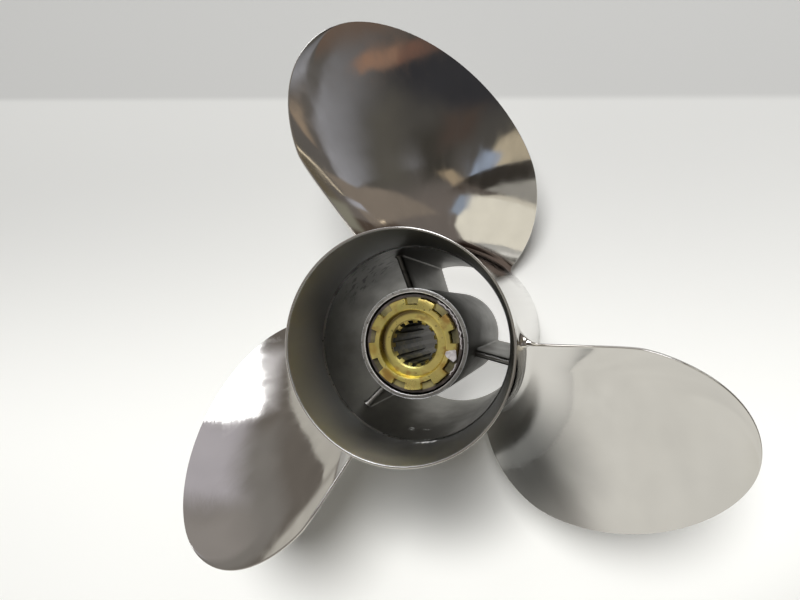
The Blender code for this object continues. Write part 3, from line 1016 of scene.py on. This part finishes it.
def build_sleeve(metal, greasy):
    """Flange with nine tabs, counterbore, and the toothed bore with its chamfered mouth."""
    top = SLEEVE_AFT_Z
    soft = 0.35 * MM
    ledge_z = top - COUNTERBORE_DEPTH
    teeth_z = ledge_z - SPLINE_LEAD
    root_share = (SPLINE_MOUTH_R - SPLINE_ROOT_R) / (SPLINE_MOUTH_R - SPLINE_TIP_R)
    profile = [
        (SLEEVE_R, SLEEVE_FRONT_Z),
        (SLEEVE_R, FLANGE_Z),
        (lambda a: tab_r(a) - 0.2 * MM, FLANGE_Z),
        (tab_r, FLANGE_Z + 0.2 * MM),
        (tab_r, top - soft),
        (lambda a: tab_r(a, 0.1 * MM), top - soft * 0.3),
        (lambda a: tab_r(a, soft), top),
        (COUNTERBORE_MOUTH_R + 0.3 * MM, top),
        (COUNTERBORE_MOUTH_R + 0.08 * MM, top - 0.08 * MM),
        (COUNTERBORE_MOUTH_R, top - 0.3 * MM),
        (COUNTERBORE_R + 0.1 * MM, ledge_z + 0.3 * MM),
        (COUNTERBORE_R - 0.2 * MM, ledge_z),
        (SPLINE_MOUTH_R + 0.25 * MM, ledge_z),
        (SPLINE_MOUTH_R, ledge_z - 0.1 * MM),
        (SPLINE_ROOT_R, ledge_z - root_share * SPLINE_LEAD),
        (tooth_r, teeth_z),
        (tooth_r, SPLINE_FRONT_Z),
        (THRUST_BORE_R, SPLINE_FRONT_Z - (THRUST_BORE_R - SPLINE_TIP_R)),
        (THRUST_BORE_R, SLEEVE_FRONT_Z),
    ]
    bm = turned(profile, sleeve_angles())
    finishes = [metal, greasy]
    for face in bm.faces:
        centre = face.calc_center_median()
        if centre.z < teeth_z and centre.xy.length < THRUST_BORE_R + 0.2 * MM:
            face.material_index = finishes.index(greasy)
    mesh = finished_mesh("splined_sleeve", bm, finishes, 30)
    place_piece("splined_sleeve", mesh, ("spline_sleeve",))


def build_bushing(dark):
    """Rubber between the hub and the sleeve, with keys that fill the gaps between the tabs."""
    low_z = SHOULDER_Z + 0.3 * MM
    under = FLANGE_Z - 0.4 * MM
    top = BUSHING_AFT_Z
    gap = 0.35 * MM
    edge_r = HUB_BORE_AFT_R - 0.9 * MM
    profile = [
        (hub_bore_r(low_z) - gap, low_z),
        (hub_bore_r(under) - gap, under),
        (edge_r, top - 1.2 * MM),
        (lambda a: edge_r - 0.3 * MM + worn(a, 1, 0.3 * MM), top - 0.2 * MM),
        (lambda a: edge_r - 0.9 * MM + worn(a, 2, 0.4 * MM), top + worn(0, 3, 0.2 * MM)),
        (lambda a: tab_r(a) + gap + 0.3 * MM, top - 0.1 * MM),
        (lambda a: tab_r(a) + gap, top - 0.6 * MM),
        (lambda a: tab_r(a) + gap, under),
        (SLEEVE_R + gap, under),
        (SLEEVE_R + gap, low_z),
    ]
    mesh = finished_mesh("bushing_rubber", turned(profile, sleeve_angles()), [dark])
    place_piece("bushing_rubber", mesh, ("rubber_bushing",))


def build_flake(pale):
    """A scab of dried rubber over one tab."""
    low = SLEEVE_AFT_Z - 0.1 * MM
    top = SLEEVE_AFT_Z + FLAKE_THICKNESS
    middle = Vector(FLAKE_MIDDLE) * MM
    rim = [Vector(corner) * MM for corner in FLAKE_OUTLINE]
    loops = []
    for share, z in ((1.0, low), (0.93, top), (0.5, top + 0.1 * MM), (0.02, top)):
        loops.append([(*(middle + (point - middle) * share), z) for point in rim])
    mesh = finished_mesh("dried_flake", lofted(loops, closed_ends=True), [pale])
    place_piece("dried_flake", mesh)


def flash_section(angle, radius, height):
    """Four corners across a torn edge, narrower at its top."""
    low = BUSHING_AFT_Z - 0.4 * MM
    high = BUSHING_AFT_Z + height
    across = ((0, low), (1, low), (0.8, high), (0.2, high))
    corners = [(radius + FLASH_WIDTH * share, z) for share, z in across]
    return [(r * math.cos(angle), r * math.sin(angle), z) for r, z in corners]


def build_flash(pale):
    """The torn edges of the bushing's moulding, each one lowest at its ends."""
    for index, (first, last, radius) in enumerate(FLASH_RUNS):
        loops = []
        for k in range(FLASH_STEPS + 1):
            angle = math.radians(between(first, last, k / FLASH_STEPS))
            wandering_r = radius * MM + worn(angle, 0.01 * index, 0.7 * MM)
            height = FLASH_HEIGHT * math.sin(math.pi * k / FLASH_STEPS) ** 0.5
            loops.append(flash_section(angle, wandering_r, height))
        name = f"torn_flash_{index + 1}"
        mesh = finished_mesh(name, lofted(loops, closed_ends=True), [pale])
        place_piece(name, mesh)


# Stage, light and camera

def build_floor():
    """A flat square just under the part."""
    half = FLOOR_HALF
    bm = bmesh.new()
    corners = [(-half, -half, 0), (half, -half, 0), (half, half, 0), (-half, half, 0)]
    bm.faces.new([bm.verts.new(corner) for corner in corners])
    floor = new_object("floor", finished_mesh("floor", bm, [floor_material()]))
    floor.location.z = -FLOOR_DROP


# What the metal reflects. Each part of the room is a convex patch of the sky, its corners
# given as (zenith angle, azimuth) in degrees, with the softness of its edges in degrees
# and the colour of its light. Later patches lie over earlier ones.
ROOM_BASE = (0.20, 0.175, 0.16)
ROOM = [
    # Pale side, beyond the second blade
    ([(42, -161), (42, -92), (110, -90), (110, -158), (84, -158)], 6, (0.875, 0.865, 0.82)),
    ([(42, -175), (42, -92), (62, -92), (62, -175)], 4, (0.76, 0.75, 0.68)),
    ([(110, 178), (45, 178), (45, -174), (110, -174)], 5, (0.62, 0.60, 0.56)),
    ([(60, -178), (60, -158), (110, -156), (110, -178)], 6, (0.56, 0.55, 0.52)),
    # Small lamp that lights the sleeve's chamfers
    ([(52, 45), (52, 69), (74, 69), (74, 45)], 3, (2.8, 2.8, 2.7)),
    # Dim side, which the first blade faces
    ([(24, -80), (24, 40), (78, 40), (78, -80)], 7, (0.15, 0.138, 0.128)),
    ([(30, -34), (30, 0), (39, 3), (49.5, 7.5), (58.5, 10.5), (63, 8.5), (63, -34)], 0.9,
     (0.46, 0.465, 0.51)),
    ([(15, -70), (15, 35), (43, 35), (43, -70)], 9, (0.185, 0.178, 0.17)),
    ([(22, -85), (22, -4), (68, -4), (68, -85)], 12, (0.095, 0.09, 0.083)),
    ([(36.5, -19), (35.5, -60), (47, -60), (50, -42), (43, -24)], 3, (0.046, 0.046, 0.052)),
    ([(52, -26), (50, -42), (66, -36), (66, -26)], 3, (0.065, 0.06, 0.052)),
    ([(44, -14), (44, -22), (66, -20), (66, -6)], 5, (0.13, 0.122, 0.105)),
    ([(49, -36), (48, -47), (55, -44), (58, -34)], 2.5, (0.10, 0.076, 0.064)),
    ([(33.4, -20), (32.8, -33), (35.0, -33), (36.4, -22)], 0.7, (0.22, 0.125, 0.095)),
    ([(33.2, -9), (33.2, -22), (36.3, -22), (36.4, -12)], 0.7, (0.36, 0.22, 0.155)),
    ([(22, 10), (22, -20), (30.5, -20), (31, 10)], 2, (0.19, 0.135, 0.105)),
    ([(41, 7.5), (41, 12), (52, 14), (53, 9.5)], 0.8, (0.40, 0.31, 0.23)),
    # Brown furniture, low down
    ([(61, 12), (61, 2), (65, -8), (70, -17), (79, -28), (79, 5)], 1.0, (0.29, 0.245, 0.205)),
    ([(76, 30), (72, 2), (79, -6), (82, -28), (95, -36), (95, 30)], 1.0, (0.10, 0.075, 0.06)),
    ([(57, 16), (57, 40), (80, 40), (72, 14)], 1.5, (0.16, 0.135, 0.095)),
    ([(69, 4), (69, 9.5), (71.5, 9.5), (72, 3)], 0.7, (0.50, 0.50, 0.55)),
    ([(58.5, 15.4), (58.5, 16.2), (63, 13.4), (68, 10.8), (68, 10.3)], 0.3, (2.2, 1.9, 1.4)),
    ([(77, -1.4), (76.7, 0.3), (77.6, 0.3), (77.7, -1.4)], 0.35, (1.8, 1.5, 1.1)),
    ([(72, 12), (72, 27), (84, 27), (84, 13)], 2, (0.30, 0.29, 0.235)),
    # Beige wall, blue glimpse and dark beam, low on the right
    ([(52, -55), (53, -60), (59, -64), (63.5, -52), (60.5, -48), (55, -53)], 0.7, (0.62, 0.54, 0.40)),
    ([(66, -43), (58.5, -48.5), (58.5, -54), (63.5, -52), (68.5, -45.5)], 0.7, (0.38, 0.45, 0.58)),
    ([(64, -32), (63.5, -37), (69, -44), (72, -40)], 0.8, (0.45, 0.36, 0.25)),
    ([(71, -44), (67, -62), (66, -90), (97, -90), (97, -40), (84, -35)], 0.5, (1.0, 0.96, 0.84)),
    ([(71, -44.5), (67, -62), (69, -62), (73, -45)], 0.5, (0.68, 0.66, 0.60)),
    ([(78.5, -34.5), (72, -39), (70.5, -44.8), (76.5, -42), (80, -38)], 0.7, (0.34, 0.40, 0.50)),
    # What the third blade faces, under and beside the window
    ([(52, 70), (52, 160), (92, 160), (92, 70)], 4, (0.185, 0.166, 0.148)),
    ([(54, 117), (54, 150), (69, 150), (67, 117)], 4, (0.27, 0.255, 0.24)),
    ([(67.5, 88), (67.8, 101), (73, 117), (78, 128), (96, 128), (96, 88)], 0.6, (0.62, 0.60, 0.55)),
    ([(78, 127.5), (83, 141), (96, 141), (96, 127.5)], 0.6, (0.62, 0.60, 0.55)),
    ([(83, 140.5), (88, 149), (96, 149), (96, 140.5)], 0.6, (0.62, 0.60, 0.55)),
    ([(69, 149.5), (96, 150), (96, 178), (69, 178)], 0.6, (0.62, 0.60, 0.55)),
    ([(28, 109), (28, 138), (56, 134), (58, 112)], 4, (0.60, 0.575, 0.62)),
    ([(28, 136), (28, 175), (58, 160), (57, 136)], 4, (0.37, 0.345, 0.33)),
    ([(50, 87), (50, 110), (64, 109), (63, 90)], 4.5, (0.95, 0.93, 0.96)),
    ([(24, 85.5), (24, 112), (52, 112), (60, 111), (61, 107), (59.3, 102), (57.6, 96), (55.5, 86)],
     0.8, (6.0, 6.1, 6.3)),
]
ZENITH_ANGLE = 22.0
ZENITH_SOFTNESS = 6.0
ZENITH_LIGHT = (0.31, 0.295, 0.27)
PAPER_SHARE = 0.42
BACKDROP = (0.80, 0.80, 0.785)
WANDER = 0.03


def sky(zenith, azimuth):
    """The direction this many degrees down from the zenith."""
    z = math.radians(zenith)
    a = math.radians(azimuth)
    return Vector((math.sin(z) * math.cos(a), math.sin(z) * math.sin(a), math.cos(z)))


def patch_mask(tree, direction, corners, softness):
    """1 inside the patch, 0 outside, with edges that fade over twice the softness."""
    points = [sky(*corner) for corner in corners]
    centre = sum(points, Vector())
    depths = []
    for here, after in zip(points, points[1:] + points[:1]):
        edge = here.cross(after).normalized()
        if edge.dot(centre) < 0:
            edge = -edge
        depths.append(dot(tree, direction, edge))
    fade = math.radians(softness)
    return mapped(tree, folded(tree, "MINIMUM", depths), -fade, fade)


def wandering(tree, straight):
    """The direction, bent a little by noise so that the room's edges aren't straight."""
    node = add_node(tree, "ShaderNodeTexNoise", Vector=straight, Scale=9.0, Detail=2.0)
    swing = (WANDER,) * 3
    middle = (-WANDER / 2,) * 3
    shift = vectors(tree, "MULTIPLY_ADD", node.outputs["Color"], swing, middle)
    return vectors(tree, "NORMALIZE", vectors(tree, "ADD", straight, shift))


def build_room():
    """A studio seen in reflections: window, pale side, dim brown side. Paper gets less of it."""
    world = bpy.data.worlds.new("room")
    bpy.context.scene.world = world
    world.use_nodes = True
    tree = world.node_tree
    straight = add_node(tree, "ShaderNodeTexCoord").outputs["Generated"]
    direction = wandering(tree, straight)
    colour = ROOM_BASE
    for corners, softness, tint in ROOM:
        colour = mixed(tree, patch_mask(tree, direction, corners, softness), colour, tint)
    mottle = noise_value(tree, straight, 9.0)
    colour = scaled(tree, colour, mapped(tree, mottle, 0.25, 0.75, 0.94, 1.06, False))
    low = math.cos(math.radians(ZENITH_ANGLE + ZENITH_SOFTNESS))
    high = math.cos(math.radians(ZENITH_ANGLE - ZENITH_SOFTNESS))
    overhead = mapped(tree, axes(tree, direction)[2], low, high)
    colour = mixed(tree, overhead, colour, ZENITH_LIGHT)
    ray = add_node(tree, "ShaderNodeLightPath").outputs
    colour = mixed(tree, ray["Is Camera Ray"], colour, BACKDROP)
    full = maths(tree, "MAXIMUM", ray["Is Camera Ray"], ray["Is Glossy Ray"])
    strength = mapped(tree, full, 0.0, 1.0, PAPER_SHARE, 1.0, False)
    background = tree.nodes["Background"]
    tree.links.new(colour, background.inputs["Color"])
    tree.links.new(strength, background.inputs["Strength"])


# The lamp lights only what isn't metal, so the metal shows the room alone.
CEILING_DISTANCE = 2.4
CEILING_SIZE = 1.05
CEILING_SKY = (20, 76)
CEILING_WATTS = 60.0


def build_lamp():
    """A soft ceiling lamp."""
    data = bpy.data.lights.new("ceiling", "AREA")
    data.energy = CEILING_WATTS
    data.shape = "DISK"
    data.size = CEILING_SIZE
    lamp = new_object("ceiling", data)
    lamp.location = sky(*CEILING_SKY) * CEILING_DISTANCE
    lamp.rotation_euler = lamp.location.to_track_quat("Z", "Y").to_euler()
    lamp.visible_glossy = False


def build_camera():
    """A camera at the photograph's viewpoint."""
    data = bpy.data.cameras.new("camera")
    data.lens = CAMERA_LENS
    data.sensor_width = 36.0
    data.clip_start = 0.01
    data.clip_end = 50.0
    camera = new_object("camera", data)
    back = -CAMERA_LOOK.normalized()
    right = CAMERA_UP.cross(back).normalized()
    up = back.cross(right)
    facing = Matrix((right, up, back)).transposed()
    camera.matrix_world = Matrix.Translation(CAMERA_PLACE) @ facing.to_4x4()
    bpy.context.scene.camera = camera


def main():
    bpy.context.scene.view_settings.view_transform = "Standard"
    build_camera()
    build_room()
    build_lamp()
    build_floor()
    steel = polished_steel()
    satin = satin_steel()
    worn_metal = worn_steel()
    pale = pale_flake()
    build_barrel(steel, satin, turned_steel(), worn_metal)
    build_hub(satin, worn_metal)
    build_ribs(satin)
    build_blades(steel)
    build_sleeve(brass(), greasy_bore())
    build_bushing(rubber())
    build_flake(pale)
    build_flash(pale)


main()
